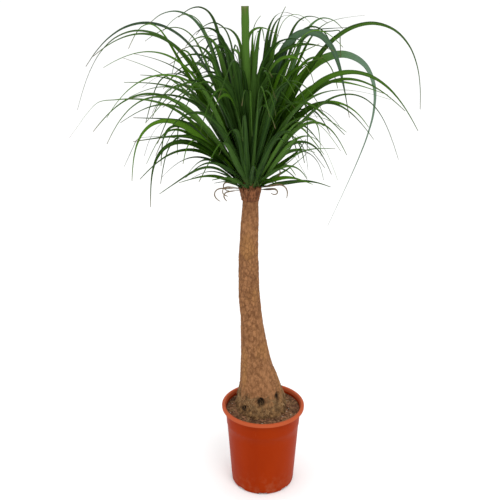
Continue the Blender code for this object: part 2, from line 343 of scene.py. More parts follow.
def pot_profile():
    """From the middle of the inner floor, up the inside, over the lip and down the outside."""
    lip_under = POT_HEIGHT - LIP_HEIGHT
    floor_top, corner = 0.003, 0.005
    inner_corner = (wall_radius(floor_top) - WALL - corner, floor_top + corner)
    inside = [(0.0, floor_top), (0.030, floor_top)]
    inside += arc(inner_corner, corner, -90, 0, 5)
    inside += [(wall_radius(h) - WALL, h) for h in np.linspace(0.02, STEP_HEIGHT, 8)]
    inside += [
        (wall_radius(h) - WALL + STEP_OUT, h)
        for h in np.linspace(STEP_HEIGHT + 0.002, POT_HEIGHT - 0.006, 5)
    ]
    roll = 0.0032
    lip = arc((MOUTH_RADIUS + 0.0042, POT_HEIGHT - roll), roll, 160, 90, 5)
    lip += arc((RIM_RADIUS - roll, POT_HEIGHT - roll), roll, 85, 0, 7)
    lip += [(RIM_RADIUS - 0.0002, lip_under + 0.0015)]
    lip += arc((RIM_RADIUS - 0.0010, lip_under + 0.0008), 0.0008, 0, -180, 5)
    lip += [(RIM_RADIUS - 0.0022, POT_HEIGHT - 0.0042), (MOUTH_RADIUS + 0.0036, POT_HEIGHT - 0.0046)]
    outside = [(wall_radius(lip_under) + STEP_OUT + 0.0003, lip_under - 0.001)]
    outside += [
        (wall_radius(h) + STEP_OUT, h) for h in np.linspace(lip_under - 0.004, STEP_HEIGHT + 0.0016, 6)
    ]
    outside += [(wall_radius(h), h) for h in np.linspace(STEP_HEIGHT - 0.0004, 0.012, 9)]
    outside += arc((BASE_RADIUS - 0.0055, 0.0055), 0.0055, 0, -90, 7)
    return inside + lip + outside + [(0.030, 0.0), (0.0, 0.0)]


# %% Pot finish
# Terracotta-coloured plastic: saturated, faintly mottled by the moulding, a little dusty low down
# and scuffed, with a fine grain that breaks up its gloss. A painted highlight runs along the lip.
plastic = Finish("terracotta_plastic", specular=0.035)
flow = plastic.grain(9.0, 4.0, stretch=(1, 1, 0.35))
up_pot = plastic.node("ShaderNodeSeparateXYZ", None, {0: plastic.place}, out="Z")
dust = up_pot.between(0.09, 0.0) * plastic.grain(60.0, 6.0).between(0.42, 0.72)
scuff = plastic.grain(240.0, 2.0, stretch=(1, 1, 0.06)).between(0.66, 0.74)
scuff = scuff * plastic.grain(22.0).between(0.50, 0.62)
plastic_colour = plastic.mix(flow.between(0.3, 0.7), (0.255, 0.0200, 0.0003), (0.295, 0.0260, 0.0006))
plastic_colour = plastic.mix(dust * 0.25, plastic_colour, (0.36, 0.15, 0.08))
plastic_colour = plastic.mix(scuff * 0.25, plastic_colour, (0.46, 0.13, 0.06))
# painted highlight: the lip is coloured paler, as if light caught it
painted_lip_highlight = up_pot.between(POT_HEIGHT - LIP_HEIGHT - 0.001, POT_HEIGHT - LIP_HEIGHT + 0.001)
plastic_colour = plastic.mix(painted_lip_highlight * 0.45, plastic_colour, (0.56, 0.145, 0.060))  # painted highlight along the lip
plastic_paint = plastic.done(
    plastic_colour,
    roughness=0.34 + 0.16 * plastic.grain(34.0, 4.0) + 0.25 * dust,
    height=plastic.grain(900.0, 2.0) * 0.25 + plastic.grain(46.0, 2.0),
    depth=0.00035,
)

# %% Turn the pot and open its drains
pot_points = [(r, 0.0, h) for r, h in pot_profile()]
pot = add_piece("nursery_pot", pot_points, [], [plastic_paint], "pot_plastic", ["pot"], smooth=False)
pot.data.clear_geometry()
pot.data.from_pydata(pot_points, [(i, i + 1) for i in range(len(pot_points) - 1)], [])
turn = pot.modifiers.new("turn", "SCREW")
turn.steps = turn.render_steps = TURN_STEPS
turn.use_merge_vertices, turn.merge_threshold = True, 0.00002
turn.use_normal_calculate = True


def drain_cutters():
    """Eight slots through the lower corner and eight holes through the floor, as one mesh."""
    cutter = bmesh.new()
    for index in range(8):
        around = math.radians(-90 + 45 * index)
        for radius, angle, size in ((0.0915, around, (0.018, 0.024, 0.012)), (0.052, around, None)):
            before = set(cutter.verts)
            if size:
                bmesh.ops.create_cube(cutter, size=1.0)
            else:
                angle += math.radians(22.5)
                bmesh.ops.create_cone(
                    cutter, cap_ends=True, segments=20, radius1=0.005, radius2=0.005, depth=0.012
                )
            for corner in set(cutter.verts) - before:
                if size:
                    corner.co = Vector(a * b for a, b in zip(corner.co, size))
                x, y = corner.co.x + radius, corner.co.y
                corner.co.x = x * math.cos(angle) - y * math.sin(angle)
                corner.co.y = x * math.sin(angle) + y * math.cos(angle)
    mesh = bpy.data.meshes.new("drain_cutters")
    cutter.to_mesh(mesh)
    cutter.free()
    return link(bpy.data.objects.new("drain_cutters", mesh))


def apply_modifiers(piece):
    """Makes what the modifiers show the piece's own mesh."""
    bpy.context.view_layer.update()
    shown = piece.evaluated_get(bpy.context.evaluated_depsgraph_get())
    mesh = bpy.data.meshes.new_from_object(shown)
    mesh.name = piece.name
    piece.modifiers.clear()
    piece.data = mesh
    return mesh


drains = drain_cutters()
opening = pot.modifiers.new("drains", "BOOLEAN")
opening.operation, opening.object = "DIFFERENCE", drains
apply_modifiers(pot)
bpy.data.objects.remove(drains)
pot.data.shade_smooth()
pot.data.set_sharp_from_angle(angle=math.radians(38))
print("pot:", len(pot.data.polygons), "faces, rim radius", round(RIM_RADIUS, 4))

# %% [markdown]
# ## Trunk
#
# The trunk of this palm stores water, so its foot swells like an onion, and its bark is corky and
# breaks into small plates. The shape is a tube along a bent line. It could be sculpted, but a
# tube whose points are pushed in and out by noise keeps every lump where the numbers put it: wide
# lumps, plates with cracks between them, and a knotted, pitted mass of old roots at the foot.

# %% Trunk centre line
TrunkRing = namedtuple("TrunkRing", "height x y radius")
# The same stations as the frame's trunk.
TRUNK_RINGS = np.array(
    (
        TrunkRing(0.168, 0.000, 0.000, 0.030),
        TrunkRing(0.182, -0.001, 0.000, 0.058),
        TrunkRing(0.205, -0.002, 0.000, 0.072),
        TrunkRing(0.235, -0.004, 0.000, 0.073),
        TrunkRing(0.275, -0.006, 0.001, 0.0665),
        TrunkRing(0.330, -0.011, 0.003, 0.0560),
        TrunkRing(0.400, -0.022, 0.005, 0.0425),
        TrunkRing(0.500, -0.032, 0.007, 0.0325),
        TrunkRing(0.600, -0.040, 0.006, 0.0292),
        TrunkRing(0.700, -0.042, 0.004, 0.0276),
        TrunkRing(0.800, -0.039, 0.001, 0.0240),
        TrunkRing(0.868, -0.037, 0.000, 0.0216),
        TrunkRing(0.904, -0.037, 0.000, 0.0245),
        TrunkRing(0.981, -0.037, 0.000, 0.0045),
    )
)


def through(stations, places):
    """A smooth curve through numbered stations (Catmull-Rom), at fractional numbers."""
    stations = np.asarray(stations, float)
    start = np.clip(np.asarray(places).astype(int), 0, len(stations) - 2)
    share = (np.asarray(places) - start)[:, None]
    before = stations[np.maximum(start - 1, 0)]
    a, b = stations[start], stations[start + 1]
    after = stations[np.minimum(start + 2, len(stations) - 1)]
    return (
        a * (1 + 2 * share) * (1 - share) ** 2
        + (b - before) / 2 * share * (1 - share) ** 2
        + b * share**2 * (3 - 2 * share)
        + (after - a) / 2 * share**2 * (share - 1)
    )


def trunk_at(heights):
    """x, y and radius of the smooth trunk at each height."""
    fine = through(TRUNK_RINGS, np.linspace(0, len(TRUNK_RINGS) - 1, 400))
    return np.stack([np.interp(heights, fine[:, 0], fine[:, k]) for k in (1, 2, 3)], axis=-1)


# %% Trunk mesh
TRUNK_ROWS, TRUNK_COLUMNS = 400, 176
FOOT_TOP = 0.305  # below this the bark gives way to knotted old roots
Pit = namedtuple("Pit", "around height width depth")
PITS = (  # hollows between the roots: degrees round the trunk from +X, height, width, depth
    Pit(270, 0.288, 0.015, 0.017),
    Pit(322, 0.297, 0.012, 0.013),
    Pit(222, 0.262, 0.010, 0.007),
    Pit(20, 0.270, 0.013, 0.010),
    Pit(110, 0.283, 0.012, 0.012),
    Pit(168, 0.268, 0.010, 0.008),
)

rows = np.linspace(0.190, 0.980, TRUNK_ROWS)
around = np.linspace(0, 2 * np.pi, TRUNK_COLUMNS, endpoint=False)
centre = trunk_at(rows)
ring_out = np.stack([np.cos(around), np.sin(around), np.zeros_like(around)], axis=-1)
smooth_bark = (
    np.stack([centre[:, 0], centre[:, 1], rows], axis=-1)[:, None, :]
    + ring_out[None] * centre[:, 2][:, None, None]
).reshape(-1, 3)
row_of = np.repeat(rows, TRUNK_COLUMNS)
uneven = row_of + 0.010 * lumps(smooth_bark, 22.0, 2, 4.0)
foot = 1 - smooth_step(FOOT_TOP - 0.045, FOOT_TOP + 0.012, uneven)
plates = cracks(smooth_bark * (1.0, 1.0, 0.62), 95.0, 3.0)
plates_big = cracks(smooth_bark * (1.0, 1.0, 0.75), 46.0, 8.0)
deeper = smooth_step(-0.2, 0.3, lumps(smooth_bark, 14.0, 2))
crack = (1 - smooth_step(0.0, 0.22, plates)) * (0.45 + 0.55 * deeper)
push = 0.0013 * lumps(smooth_bark, 16.0, 3, 1.0) + 0.0005 * lumps(smooth_bark, 130.0, 2, 2.0)
push -= 0.0009 * crack * (1 - foot)
knots = lumps(smooth_bark * (1.0, 1.0, 0.7), 30.0, 4, 6.0)
push += foot * (0.0045 * knots + 0.0030 - 0.0030 * (1 - smooth_step(0.0, 0.30, plates_big)))
push += foot * 0.0022 * np.sin(9 * np.tile(around, TRUNK_ROWS) + 4 * lumps(smooth_bark, 9.0, 1, 9.0))
pit_shade = np.zeros_like(push)
for pit in PITS:
    x, y, radius = trunk_at([pit.height])[0]
    turn_to = math.radians(pit.around)
    middle = np.array([x + radius * math.cos(turn_to), y + radius * math.sin(turn_to), pit.height])
    reach = np.linalg.norm((smooth_bark - middle) * (1.0, 1.0, 0.8), axis=1)
    reach = reach * (1 + 0.25 * lumps(smooth_bark, 60.0, 2, 5.0))
    depth_here = 1 - smooth_step(0.35 * pit.width, pit.width, reach)
    pit_shade = np.maximum(pit_shade, depth_here)
    push -= pit.depth * depth_here
neck = smooth_step(0.895, 0.910, row_of)  # the stem above the crown's foot is smooth
push *= 1 - 0.8 * neck
bark_points = smooth_bark + np.tile(ring_out, (TRUNK_ROWS, 1)) * push[:, None]
bark_faces = [tuple(f) for f in grid_faces(TRUNK_ROWS, TRUNK_COLUMNS, closed=True)]
bark_faces.append(tuple(range(TRUNK_COLUMNS))[::-1])
bark_faces.append(tuple(range((TRUNK_ROWS - 1) * TRUNK_COLUMNS, TRUNK_ROWS * TRUNK_COLUMNS)))

# %% Bark finish
# Cork is buff and pinkish brown, darker in its cracks, with small ochre and pale flakes. At the
# foot it turns greyer and strawy. The upper stem, newest, is redder. The hollows between the
# roots carry painted shade, nearly black.
bark = Finish("corky_bark", specular=0.10)
in_crack, at_foot, painted_pit_shade = bark.number("crack"), bark.number("foot"), bark.number("pit_shade")
rise = bark.node("ShaderNodeSeparateXYZ", None, {0: bark.place}, out="Z")
flakes = bark.cells(340.0, stretch=(1, 1, 0.60))
mottle = bark.grain(105.0, 5.0, stretch=(1, 1, 0.7), rough=0.66)
patches = bark.grain(16.0, 2.0, stretch=(1, 1, 0.5))
bark_colour = bark.mix(mottle.between(0.34, 0.66), (0.155, 0.066, 0.026), (0.315, 0.148, 0.064))
bark_colour = bark.mix(patches.between(0.52, 0.70) * 0.5, bark_colour, (0.33, 0.160, 0.050))
bark_colour = bark.mix(flakes.between(0.30, 0.05) * 0.45, bark_colour, (0.43, 0.24, 0.125))
bark_colour = bark.mix(in_crack * 0.50, bark_colour, (0.088, 0.036, 0.014))
bark_colour = bark.mix(rise.between(0.80, 0.90) * 0.55, bark_colour, (0.130, 0.050, 0.021))
straw = bark.mix(bark.grain(120.0, 5.0).between(0.35, 0.65), (0.072, 0.038, 0.016), (0.26, 0.150, 0.062))
bark_colour = bark.mix(at_foot * 0.9, bark_colour, straw)
# painted shade: the hollows between the roots are coloured nearly black
bark_colour = bark.mix(painted_pit_shade.between(0.15, 0.9), bark_colour, (0.012, 0.008, 0.006))
bark_paint = bark.done(
    bark_colour,
    roughness=0.78 + 0.18 * mottle,
    height=mottle * 0.8 + flakes * 0.7 - in_crack * 0.6 + bark.grain(600.0, 3.0) * 0.25,
    depth=0.0011,
)

trunk = add_piece("palm_trunk", bark_points, bark_faces, [bark_paint], "bark", ["trunk"])
store(trunk.data, "crack", crack * (1 - foot))
store(trunk.data, "foot", foot)
store(trunk.data, "pit_shade", pit_shade)
print("trunk:", len(trunk.data.polygons), "faces")

# %% [markdown]
# ## Soil
#
# Potting mix is peat and coir with bits of bark and a few white grains. The body of it is a dome
# grown out of a grid of rings. On it lie crumbs: one small lump, copied and turned at random
# places, all in one mesh, so that the surface is made of pieces instead of looking painted.

# %% Soil body
SOIL_LEVEL = POT_HEIGHT - 0.016
SOIL_DOME = 0.007
SOIL_RINGS, SOIL_COLUMNS = 84, 200


def soil_radius(height):
    """Just inside the pot's wall."""
    step = STEP_OUT if height > STEP_HEIGHT + 0.002 else 0.0
    return wall_radius(height) - WALL + step - 0.0006


def soil_height(radius):
    return SOIL_LEVEL + SOIL_DOME * (1 - smooth_step(0.060, 0.100, radius))


edge = soil_radius(SOIL_LEVEL)
ring_radii = np.linspace(0.0, 1.0, SOIL_RINGS) ** 0.8 * edge
ring_radii[0] = 0.0008
turns = np.linspace(0, 2 * np.pi, SOIL_COLUMNS, endpoint=False)
soil_points = np.array(
    [(r * math.cos(t), r * math.sin(t), soil_height(r)) for r in ring_radii for t in turns]
)
crumble = 0.0022 * lumps(soil_points, 48.0, 4, 2.0)
clods = cracks(soil_points, 110.0, 6.0)
crumble += 0.0016 * smooth_step(0.0, 0.35, clods)
at_wall = smooth_step(edge - 0.006, edge, np.repeat(ring_radii, SOIL_COLUMNS))
soil_points[:, 2] += crumble * (1 - 0.8 * at_wall) + 0.0012 * at_wall
below = [(edge, SOIL_LEVEL - 0.006)]
below += [(soil_radius(h), h) for h in (STEP_HEIGHT + 0.003, STEP_HEIGHT, 0.10, 0.010)]
below += [(BASE_RADIUS - WALL - 0.0062, 0.0036), (0.0008, 0.0036)]
below_points = np.array([(r * math.cos(t), r * math.sin(t), h) for r, h in below for t in turns])
soil_points = np.concatenate([soil_points, below_points])
soil_rows = SOIL_RINGS + len(below)
soil_faces = [tuple(f)[::-1] for f in grid_faces(soil_rows, SOIL_COLUMNS, closed=True)]
soil_faces.append(tuple(range(SOIL_COLUMNS)))
soil_faces.append(tuple(range((soil_rows - 1) * SOIL_COLUMNS, soil_rows * SOIL_COLUMNS))[::-1])


# %% Soil finish
def earth_paint(name, dark, light, speck):
    """Crumbly brown, with paler bits of bark and a few near-white grains."""
    earth = Finish(name, specular=0.15)
    crumbs = earth.cells(260.0)
    tint = earth.grain(34.0, 4.0)
    colour = earth.mix(tint.between(0.35, 0.65), dark, light)
    colour = earth.mix(crumbs.between(0.45, 0.10) * 0.45, colour, tuple(1.5 * c for c in light))
    grains = earth.cells(150.0).between(0.13, 0.07) * earth.grain(40.0).between(0.56, 0.62)
    colour = earth.mix(grains, colour, speck)
    return earth.done(
        colour, roughness=0.85 + 0.12 * tint, height=crumbs + earth.grain(420.0, 4.0), depth=0.0014
    )


soil_paint = earth_paint(
    "potting_mix", dark=(0.075, 0.034, 0.018), light=(0.175, 0.080, 0.042), speck=(0.50, 0.38, 0.28)
)
soil = add_piece("potting_mix", soil_points, soil_faces, [soil_paint], "soil", ["potting_soil"])
print("soil:", len(soil.data.polygons), "faces, edge radius", round(edge, 4))


# %% Crumbs on the soil
def scattered_crumbs(count, seed, smallest, largest, flat=0.7):
    """Points and faces of many small broken lumps lying on the soil round the trunk."""
    rng = random.Random(seed)
    ball = bmesh.new()
    bmesh.ops.create_icosphere(ball, subdivisions=1, radius=1.0)
    shape = np.array([v.co[:] for v in ball.verts])
    faces = np.array([[v.index for v in f.verts] for f in ball.faces])
    ball.free()
    points, all_faces = [], []
    for index in range(count):
        radius = math.sqrt(rng.uniform(0.064**2, (edge - 0.004) ** 2))
        angle = rng.uniform(0, 2 * math.pi)
        size = mix(smallest, largest, rng.random() ** 2.5)
        stretch = np.array([rng.uniform(0.7, 1.4), rng.uniform(0.6, 1.1), flat * rng.uniform(0.7, 1.1)])
        jagged = 1 + 0.28 * np.array([rng.uniform(-1, 1) for _ in shape])[:, None]
        spin = rng.uniform(0, 2 * math.pi)
        local = shape * jagged * stretch * size
        x = local[:, 0] * math.cos(spin) - local[:, 1] * math.sin(spin)
        y = local[:, 0] * math.sin(spin) + local[:, 1] * math.cos(spin)
        ground = float(soil_height(radius)) + 0.0012 + size * 0.25
        where = (radius * math.cos(angle), radius * math.sin(angle), ground)
        points.append(np.stack([x, y, local[:, 2]], axis=-1) + where)
        all_faces.append(faces + index * len(shape))
    return np.concatenate(points), np.concatenate(all_faces)


bark_chip_paint = earth_paint(
    "crumbs", dark=(0.100, 0.045, 0.023), light=(0.27, 0.135, 0.070), speck=(0.55, 0.43, 0.32)
)
grain_finish = Finish("pale_grains", roughness=0.8, specular=0.3)
grain_paint = grain_finish.done(
    grain_finish.mix(grain_finish.grain(300.0), (0.46, 0.38, 0.29), (0.72, 0.66, 0.56)),
    height=grain_finish.grain(900.0),
    depth=0.0004,
)
crumbs = add_piece(
    "soil_crumbs", *scattered_crumbs(760, 11, 0.0012, 0.0046), [bark_chip_paint], "soil", smooth=False
)
grains = add_piece(
    "pale_soil_grains", *scattered_crumbs(46, 12, 0.0010, 0.0022, 0.9), [grain_paint], "soil", smooth=False
)
print("crumbs:", len(crumbs.data.polygons), "faces")

# %% [markdown]
# ## Root fibres
#
# Where the foot meets the soil it is wrapped in a mat of thin dead roots and coir. Each fibre is
# a short bent line laid over the foot or the soil. A curve object gives them all their round
# section from one bevel.

# %% Root fibres
FIBRE_COUNT = 560


def foot_surface(angle, height):
    """A point on the lumpy foot, by casting a ray at the trunk's own mesh."""
    x, y, radius = trunk_at([height])[0]
    out = Vector((math.cos(angle), math.sin(angle), 0.0))
    start = Vector((x, y, height)) + out * (radius + 0.03)
    hit, normal, _, _ = trunk_tree.ray_cast(start, -out, 0.06)
    return (hit, normal) if hit else (start - out * 0.03, out)


def fibre_points(rng):
    """A fibre's line: it creeps over the foot, or out over the soil."""
    angle, height = rng.uniform(0, 2 * math.pi), rng.uniform(0.236, 0.302)
    length = rng.uniform(0.014, 0.050)
    drift = rng.gauss(0, 0.9)
    on_soil = rng.random() < 0.30
    reach = rng.uniform(0.074, edge - 0.006)
    line = []
    for step in range(7):
        along = length * (step / 6 - 0.5)
        if on_soil:
            radius = min(reach + along * math.cos(drift), edge - 0.002)
            turn_by = angle + along * math.sin(drift) / 0.09
            spot = Vector((radius * math.cos(turn_by), radius * math.sin(turn_by), 0))
            spot.z = float(soil_height(radius)) + 0.0026 + 0.0012 * math.sin(step * 1.3 + angle * 9)
        else:
            here = max(0.231, height + along * math.cos(drift))
            hit, normal = foot_surface(angle + along * math.sin(drift) / 0.07, here)
            spot = hit + normal * (0.0006 + 0.0010 * abs(math.sin(step * 1.7 + angle * 7)))
        line.append(spot)
        drift += rng.gauss(0, 0.22)
    return line


trunk_tree = BVHTree.FromPolygons([tuple(p) for p in bark_points], bark_faces)
fibre_rng = random.Random(21)
fibre_curve = bpy.data.curves.new("root_fibres", "CURVE")
fibre_curve.dimensions = "3D"
fibre_curve.bevel_depth, fibre_curve.bevel_resolution = 0.00055, 1
fibre_curve.use_fill_caps = True
for _ in range(FIBRE_COUNT):
    line = fibre_points(fibre_rng)
    spline = fibre_curve.splines.new("POLY")
    spline.points.add(len(line) - 1)
    thick = fibre_rng.uniform(0.5, 1.5)
    for index, spot in enumerate(line):
        spline.points[index].co = (*spot, 1.0)
        spline.points[index].radius = thick * (1.0 - 0.5 * abs(index / 3 - 1))
fibre_finish = Finish("root_fibre", roughness=0.8, specular=0.2)
fibre_tint = fibre_finish.grain(45.0, 3.0)
fibre_paint = fibre_finish.done(
    fibre_finish.mix(fibre_tint.between(0.35, 0.62), (0.085, 0.044, 0.018), (0.32, 0.195, 0.088)),
    height=fibre_finish.grain(900.0),
    depth=0.0003,
)
fibre_curve.materials.append(fibre_paint)
fibre_piece = link(bpy.data.objects.new("fibre_lines", fibre_curve))
bpy.context.view_layer.update()
fibre_mesh = bpy.data.meshes.new_from_object(
    fibre_piece.evaluated_get(bpy.context.evaluated_depsgraph_get())
)
bpy.data.objects.remove(fibre_piece)
fibres = link(bpy.data.objects.new("root_fibres", fibre_mesh))
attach(fibres, "root")
print("fibres:", len(fibre_mesh.polygons), "faces")

# %% [markdown]
# ## Leaf finishes
#
# A leaf of this palm is a leathery strap with fine lengthwise veins, dark above and a little paler
# beneath, yellower where it clasps the stem, and dried to a brown thread at its tip. The mesh
# carries five numbers that the shader reads: how far along the leaf, how far across it, how dry,
# how much grey wax and painted sheen it shows, and a tone that is different for every leaf.


# %% Leaf finishes
GLOW = (0.06, 0.18, 0.008)  # light that comes through a leaf
GLOW_SHARE = 0.10
WAX_AND_PAINTED_SHEEN = (0.115, 0.185, 0.140)  # grey wax and a painted sky sheen, on some leaves


def leaf_paint(name, dark, light, base, roughness, specular):
    """A veined leaf side, darkened by painted shade towards its base. A little light comes through it."""
    leaf = Finish(name, specular=specular)
    along, across = leaf.number("along"), leaf.number("across")
    tone, dry = leaf.number("tone"), leaf.number("dry")
    lane = leaf.node(
        "ShaderNodeCombineXYZ", None, {0: across * 5.0 + tone * 71.0, 1: along * 2.5, 2: tone * 13.0}
    )
    veins = leaf.grain(1.6, 3.0, rough=0.6, place=lane)
    blotch = leaf.grain(28.0, 3.0)
    colour = leaf.mix((tone * 0.85 + blotch * 0.4 - 0.14).between(0.0, 1.0), dark, light)
    colour = leaf.mix(veins.between(0.42, 0.70) * 0.32, colour, tuple(min(1, 1.9 * c) for c in light))
    colour = leaf.mix((across * across).between(0.10, 0.0) * 0.20, colour, tuple(1.5 * c for c in light))
    # painted shade: the lower part of each leaf is darkened, as if the crown's core shaded it
    colour = leaf.mix(along.between(0.42, 0.06) * 0.28, colour, tuple(0.6 * c for c in dark))
    colour = leaf.mix(along.between(0.10, 0.0) * 0.40, colour, base)
    # grey wax with a painted sky sheen over the arcs of a few leaves
    colour = leaf.mix(leaf.number("bloom") * 0.80, colour, WAX_AND_PAINTED_SHEEN)
    tawny = leaf.mix(leaf.grain(160.0, 3.0), (0.10, 0.066, 0.030), (0.26, 0.19, 0.11))
    colour = leaf.mix(dry, colour, tawny)
    leaf.done(
        colour,
        roughness=roughness + 0.22 * veins + 0.25 * dry,
        height=veins + leaf.grain(700.0, 2.0) * 0.2,
        depth=0.0005,
    )
    light_through = leaf.node("ShaderNodeBsdfTranslucent", None, {"Color": (*GLOW, 1.0)})
    both = leaf.tree.nodes.new("ShaderNodeMixShader")
    both.inputs[0].default_value = GLOW_SHARE
    leaf.tree.links.new(leaf.shader.outputs[0], both.inputs[1])
    leaf.tree.links.new(light_through.socket, both.inputs[2])
    leaf.tree.links.new(both.outputs[0], leaf.tree.nodes["Material Output"].inputs["Surface"])
    return leaf.material


leaf_upper = leaf_paint(
    "leaf_upper",
    dark=(0.0045, 0.0200, 0.0010),
    light=(0.058, 0.145, 0.0060),
    base=(0.13, 0.23, 0.05),
    roughness=0.36,
    specular=0.10,
)
leaf_under = leaf_paint(
    "leaf_under",
    dark=(0.0080, 0.0290, 0.0040),
    light=(0.060, 0.135, 0.018),
    base=(0.14, 0.23, 0.06),
    roughness=0.45,
    specular=0.08,
)

# %% [markdown]
# ## Leaf lines
#
# Each leaf of the frame is a plain strap, and its mesh tells where the leaf runs. A strap lies in
# an upright plane through the stem, so its corners are read in that plane, as how far out and how
# high. Corners that fall on the same spot belong to one station, and the stations are put in
# order from the stem to the tip.

# %% Read the leaf lines from the frame
CROWN_X = -0.037
STATION_REACH = 0.004


def midrib_of(node):
    """The azimuth of a strap, and how far out and how high each of its stations is."""
    corners = np.array([(node.matrix_world @ v.co)[:] for v in node.data.vertices])
    corners -= (CROWN_X, 0.0, 0.0)
    out = corners[:, :2].sum(axis=0)
    out /= np.linalg.norm(out)
    groups = []
    for spot in np.stack([corners[:, :2] @ out, corners[:, 2]], axis=-1):
        near = [group for group in groups if np.linalg.norm(group[0] - spot) < STATION_REACH]
        if near:
            near[0].append(spot)
        else:
            groups.append([spot])
    left = [np.mean(group, axis=0) for group in groups]
    line = [left.pop(int(np.argmin([spot[0] for spot in left])))]
    while left:
        line.append(left.pop(int(np.argmin([np.linalg.norm(spot - line[-1]) for spot in left]))))
    return math.degrees(math.atan2(out[1], out[0])), np.array(line)


leaf_lines = {name: midrib_of(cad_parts[name]) for name in leaf_nodes}
print("stations per leaf:", sorted({len(line) for _, line in leaf_lines.values()}))

# %% [markdown]
# ## One blade
#
# `Blade` says everything about a leaf except where it runs: width, roll, twist, fold and tone. The
# blade is a sheet five points wide that follows the line. It is folded like a gutter at its base,
# opens out almost flat, rolls and twists, and thins to a thread. The Solidify modifier gives it
# thickness and puts the underside on its own material. Its texture map is the unrolled
# strap, cut into rows that are stacked in the square.

# %% Shape of a blade
Blade = namedtuple(
    "Blade",
    "width roll twist fold tone dry_from sway wave seed taper bloom cut",
    defaults=(0.38, 0.0, False),
)
BLADE_THICKNESS = 0.0005
BLADE_COLUMNS = 5
STATION_LENGTH = 0.0065
THREAD_WIDTH, TIP_WIDTH = 0.0034, 0.0014  # the narrowest part, and its very end
FRONT, FRONT_REACH = 270, 60  # degrees
FRONT_TAPER, FRONT_TONE = 0.16, 0.4


def evenly_spaced(line, count):
    """The same line with its points an equal distance apart."""
    walked = np.concatenate([[0.0], np.cumsum(np.linalg.norm(np.diff(line, axis=0), axis=1))])
    wanted = np.linspace(0, walked[-1], count)
    return np.stack([np.interp(wanted, walked, column) for column in line.T], axis=-1)


def blade_line(azimuth, line, blade):
    """Points along the midrib, each with its sideways and its upward direction."""
    fine = through(line, np.linspace(0, len(line) - 1, 12 * len(line)))
    length = np.linalg.norm(np.diff(fine, axis=0), axis=1).sum()
    fine = evenly_spaced(fine, max(16, int(length / STATION_LENGTH)))
    share = np.linspace(0, 1, len(fine))
    turn_to = math.radians(azimuth)
    out = np.array((math.cos(turn_to), math.sin(turn_to), 0.0))
    side = np.array((-math.sin(turn_to), math.cos(turn_to), 0.0))
    aside = length * (blade.sway * share**2 + blade.wave * np.sin(5.5 * share + blade.seed) * share**1.5)
    place = np.outer(fine[:, 0], out) + np.outer(aside, side)
    place += np.stack([np.full(len(fine), CROWN_X), np.zeros(len(fine)), fine[:, 1]], axis=-1)
    along = np.gradient(place, axis=0)
    along /= np.linalg.norm(along, axis=1)[:, None]
    sideways = side - along * (along @ side)[:, None]
    sideways /= np.linalg.norm(sideways, axis=1)[:, None]
    upper = np.cross(along, sideways)
    roll = blade.roll * smooth_step(0.03, 0.30, share)
    roll = np.radians(roll + blade.twist * share**1.6)[:, None]
    turned = np.cos(roll) * sideways + np.sin(roll) * upper
    return share, place, turned, np.cos(roll) * upper - np.sin(roll) * sideways


def turned_from(azimuth, other):
    """The angle between two azimuths, in degrees."""
    return abs((azimuth - other + 180) % 360 - 180)


def bows_to_front(azimuth):
    return turned_from(azimuth, FRONT) < FRONT_REACH


def taper_start(launch, azimuth):
    """Young steep leaves stay broad for longer. Those that bow to the front show a thinner end."""
    start = float(np.interp(launch, (35, 60, 86), (0.30, 0.40, 0.74)))
    return start - FRONT_TAPER if bows_to_front(azimuth) else start


def blade_half_width(share, blade):
    """Clasping at the base, widest at a fifth, then thinning to a thread, unless it was cut off."""
    shape = mix(0.66, 1.0, smooth_step(0.0, 0.18, share))
    if not blade.cut:
        shape *= np.maximum(1 - share, 0.02) ** 0.35
        shape *= mix(1.0, 0.24, smooth_step(blade.taper, 0.97, share))
    ripple = 1 + 0.04 * np.sin(share * 46 + blade.seed) * np.sin(share * 17 + 2 * blade.seed)
    thread = mix(THREAD_WIDTH, TIP_WIDTH, share**8)
    return np.maximum(blade.width * shape * ripple, thread) / 2


def blade_sheet(azimuth, line, blade):
    """Points of the sheet, stations by columns, with the share along and across of each."""
    share, place, sideways, upper = blade_line(azimuth, line, blade)
    half = blade_half_width(share, blade)[:, None]
    across = np.linspace(-1, 1, BLADE_COLUMNS)[None, :]
    gutter = np.tan(np.radians(blade.fold * (1 - 0.72 * smooth_step(0.04, 0.60, share))))[:, None]
    points = place[:, None] + sideways[:, None] * (half * across)[..., None]
    points += upper[:, None] * (half * (np.abs(across) - 0.35) * gutter)[..., None]
    size = points.shape[:2]
    return points, np.broadcast_to(share[:, None], size), np.broadcast_to(across, size)


# %% Blade mesh
MAP_ROWS = 4  # rows of the unrolled strap on each side's half of the texture map


def lay_out_map(mesh, stations, across, under):
    """Writes the texture map: where each corner of each face lies in the square."""
    per_row = math.ceil(stations.max() / MAP_ROWS)
    corner_of = np.empty(len(mesh.loops), int)
    mesh.loops.foreach_get("vertex_index", corner_of)
    places = np.empty((len(mesh.loops), 2))
    for face in mesh.polygons:
        loops = np.arange(face.loop_start, face.loop_start + face.loop_total)
        corners = corner_of[loops]
        row = min(int(stations[corners].min()) // per_row, MAP_ROWS - 1)
        u = 0.01 + 0.97 * (stations[corners] - row * per_row) / per_row
        v = 0.5 + 0.36 * across[corners]
        rim = under[corners].any() and not under[corners].all()
        if rim:  # the narrow faces of the leaf's edge lie just beyond it
            at_end = np.ptp(stations[corners]) == 0
            beyond = under[corners].astype(float)
            u, v = (u + 0.008 * beyond, v) if at_end else (u, v + 0.10 * beyond * np.sign(across[corners]))
        half = 0.5 if under[corners].all() else 0.0
        places[loops] = np.stack([u, half + (row + v) / (2 * MAP_ROWS)], axis=-1)
    mesh.uv_layers.new(name="OFBake").uv.foreach_set("vector", places.ravel().astype("f"))


